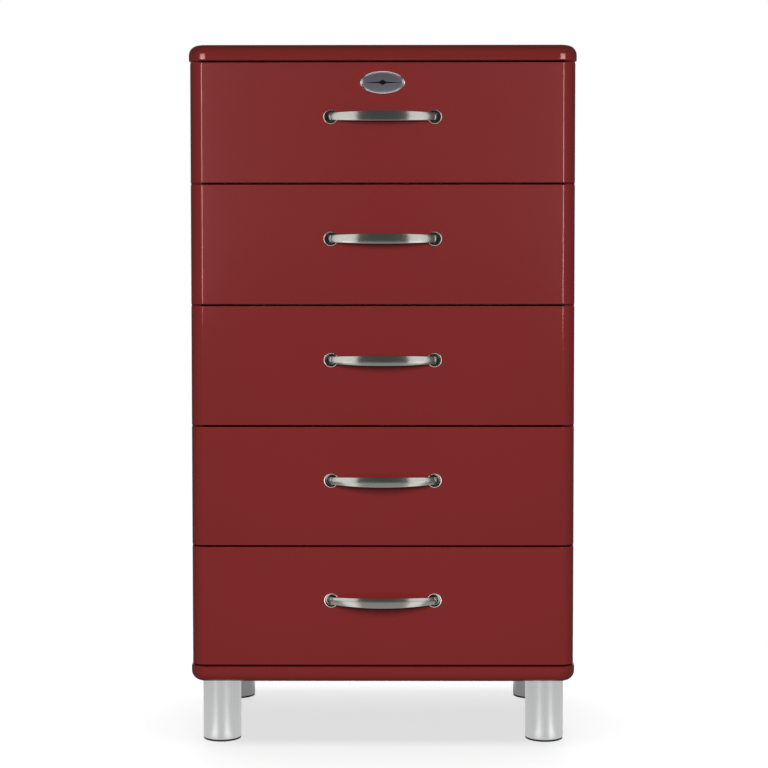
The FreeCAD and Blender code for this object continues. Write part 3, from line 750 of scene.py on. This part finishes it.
def front_keys(name, drawer):
    """The pair of keys on one drawer front, which give the same light on every front."""
    low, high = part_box(name)
    front = Vector((0.0, low.y, (low.z + high.z) / 2))
    height = FRONT_KEY_HEIGHT + FRONT_KEY_GROWTH * drawer
    receivers = group_of(f"front_{drawer}", [nodes[name]])
    x, y, z = FRONT_KEY_PLACE
    for side in SIDES:
        place = Vector((side * x, y, z + FRONT_KEY_LIFT * drawer))
        falloff = (front - place).length ** 3 / (front.y - place.y)
        key(f"front_key_{drawer}_{side}", place, front, size=(FRONT_KEY_WIDTH, height),
            radiance=FRONT_LIGHT * falloff / (FRONT_KEY_WIDTH * height), receivers=receivers)


def front_lights():
    """Even light on the drawer fronts, and the bright line down each rounded side of the upper ones."""
    for drawer, name in zip(DRAWERS, FRONTS):
        front_keys(name, drawer)
    fronts = group_of("fronts", [nodes[name] for name in FRONTS])
    corner_card("strip_left", -1, angles=(9.0, 16.0), heights=(0.64, 1.5), distance=2.0,
                radiance=9.6, receivers=fronts)
    corner_card("strip_right", 1, angles=(9.5, 15.0), heights=(0.60, 1.5), distance=2.0,
                radiance=11.0, receivers=fronts)


FAN_ANGLE = math.radians(40.5)
FAN_REACHES = (0.45, 0.8, 1.4, 2.4)
FAN_WIDTH = 0.36            # a fan card's sides as shares of its reach
FAN_LENGTH = 0.56
FAN_START = (0.05, -0.24)   # just before the handles, to one side of their middle
WALL_Y = -1.6
WALL_Z = 1.07
WALL_HEIGHT = 1.86


def handle_cards(handles, badge_faces):
    """What the handles' bows and the badge's face mirror: fans and walls beside them, and the floor."""
    bows = group_of("handles", handles + badge_faces)
    start_x, start_y = FAN_START
    for side in SIDES:
        fan = side * FAN_ANGLE
        for reach in FAN_REACHES:
            place = (side * start_x + reach * math.sin(fan), start_y - reach * math.cos(fan))
            floor_card(f"fan_{side}_{reach}", place, size=(FAN_WIDTH * reach, FAN_LENGTH * reach),
                       radiance=0.85, receivers=bows, turn=fan)
        card(f"glint_{side}", (side * 2.0, -0.55, 0.8), (side * 0.08, -0.24, 0.7),
             size=(0.5, 1.4), radiance=1.1, receivers=bows)
    for name, x, width in (("wall_left", -1.3, 1.5), ("wall_right", 1.19, 1.24)):
        card(name, (x, WALL_Y, WALL_Z), (0.0, WALL_Y, WALL_Z), size=(width, WALL_HEIGHT),
             radiance=1.05, receivers=bows)
    floor_card("handle_card", (0.0, -1.85), size=(2.4, 2.7), radiance=0.32, receivers=bows)
    lip_place, lip_size = (0.0, -0.36), (1.6, 0.28)
    floor_card("lip_card", lip_place, lip_size, radiance=0.42, receivers=bows)
    floor_card("lip_card_high", lip_place, lip_size, radiance=0.6,
               receivers=group_of("top_handle", handles[:1]))


def cup_cards(rims, bowls):
    """What the cups mirror: cards beside and below for the bright rims, the floor for the bowls."""
    bright = group_of("rims", rims)
    # The bowls' dark metal is painted shade; the floor cards below brighten the lower ones.
    painted_dark_bowls = group_of("bowls", bowls)
    for side in SIDES:
        card(f"rim_{side}", (side * 1.6, -1.1, 0.7), (0.0, -0.2, 0.6), size=(1.6, 2.4), radiance=2.0,
             receivers=bright)
    card("rim_low", (0.0, -0.9, 0.02), (0.0, -0.2, 0.5), size=(2.0, 0.8), radiance=1.4, receivers=bright)
    floor_card("bowl_near", (0.0, -1.2), size=(3.0, 1.4), radiance=3.6, receivers=painted_dark_bowls)
    floor_card("bowl_far", (0.0, -2.6), size=(3.0, 1.4), radiance=0.6, receivers=painted_dark_bowls)


def badge_cards(rim):
    """What the badge's rim mirrors: a card on each side, one above and one below."""
    rolled = group_of("badge_rim", [rim])
    for side in SIDES:
        card(f"badge_side_{side}", (side * 1.6, -1.1, 0.9), (0.0, -0.2, 0.9), size=(1.6, 1.6), radiance=2.6,
             receivers=rolled)
    card("badge_high", (0.0, -0.7, 2.2), (0.0, -0.2, 1.0), size=(1.4, 0.8), radiance=2.4, receivers=rolled)
    card("badge_low", (0.0, -0.8, 0.02), (0.0, -0.2, 1.0), size=(1.4, 0.9), radiance=2.0, receivers=rolled)


UNDER_CHEST = (0.66, 0.44)
STREAK_SIZE = (0.035, 0.5)
STREAK_REACH = 0.3          # from the leg's axis to the streak's middle


def leg_cards():
    """What the legs mirror: the floor round the chest and under it, and streaks before the front legs."""
    legs = group_of("legs", in_slot("brushed_leg"))
    for side, name in zip(SIDES, ("leg_front_left", "leg_front_right")):
        floor_card(f"leg_card_{side}", (side * 1.0, -0.75), size=(1.34, 1.7), radiance=0.66, receivers=legs)
        floor_card(f"leg_card_far_{side}", (side * 1.0, 0.95), size=(1.34, 1.7), radiance=0.5,
                   receivers=legs)
        floor_card(f"leg_card_end_{side}", (0.0, side * 1.0), size=(0.66, 1.56), radiance=0.66,
                   receivers=legs)
        leg = group_of(f"front_leg_{side}", [nodes[name]])
        floor_card(f"leg_inner_{side}", (0.0, 0.0), size=UNDER_CHEST, radiance=0.64, receivers=leg)
        low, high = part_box(name)
        for turn in (-side * 30, side * 33):
            along = math.radians(turn)
            place = ((low.x + high.x) / 2 + STREAK_REACH * math.sin(along),
                     (low.y + high.y) / 2 - STREAK_REACH * math.cos(along))
            floor_card(f"leg_streak_{side}_{turn}", place, size=STREAK_SIZE, radiance=0.75, receivers=leg,
                       turn=along)
    rear = group_of("rear_legs", [nodes["leg_rear_left"], nodes["leg_rear_right"]])
    floor_card("under_card", (0.0, 0.0), size=UNDER_CHEST, radiance=0.2, receivers=rear)


def floor_light(ground):
    """The light that makes the floor nearly white, so that the chest's shadow is soft and pale."""
    key("floor_wash", (0.0, 0.0, 3.5), (0.0, 0.0, 0.0), size=(3.4, 3.4), radiance=6.2,
        receivers=group_of("ground", [ground]))


# ---- the scene ----

camera()
dress_nodes()
handles = []
rims = []
bowls = []
for drawer in DRAWERS:
    handles.append(bow_handle(drawer))
    rim, bowl = cups(drawer)
    rims.append(rim)
    bowls.append(bowl)
rolled_rim = badge_rim()
badge_faces = [badge_field(), badge_bar()]
ground = floor()
world()

body_lights()
top_lights()
front_lights()
handle_cards(handles, badge_faces)
cup_cards(rims, bowls)
badge_cards(rolled_rim)
leg_cards()
floor_light(ground)
bpy.context.scene.view_settings.view_transform = "Standard"
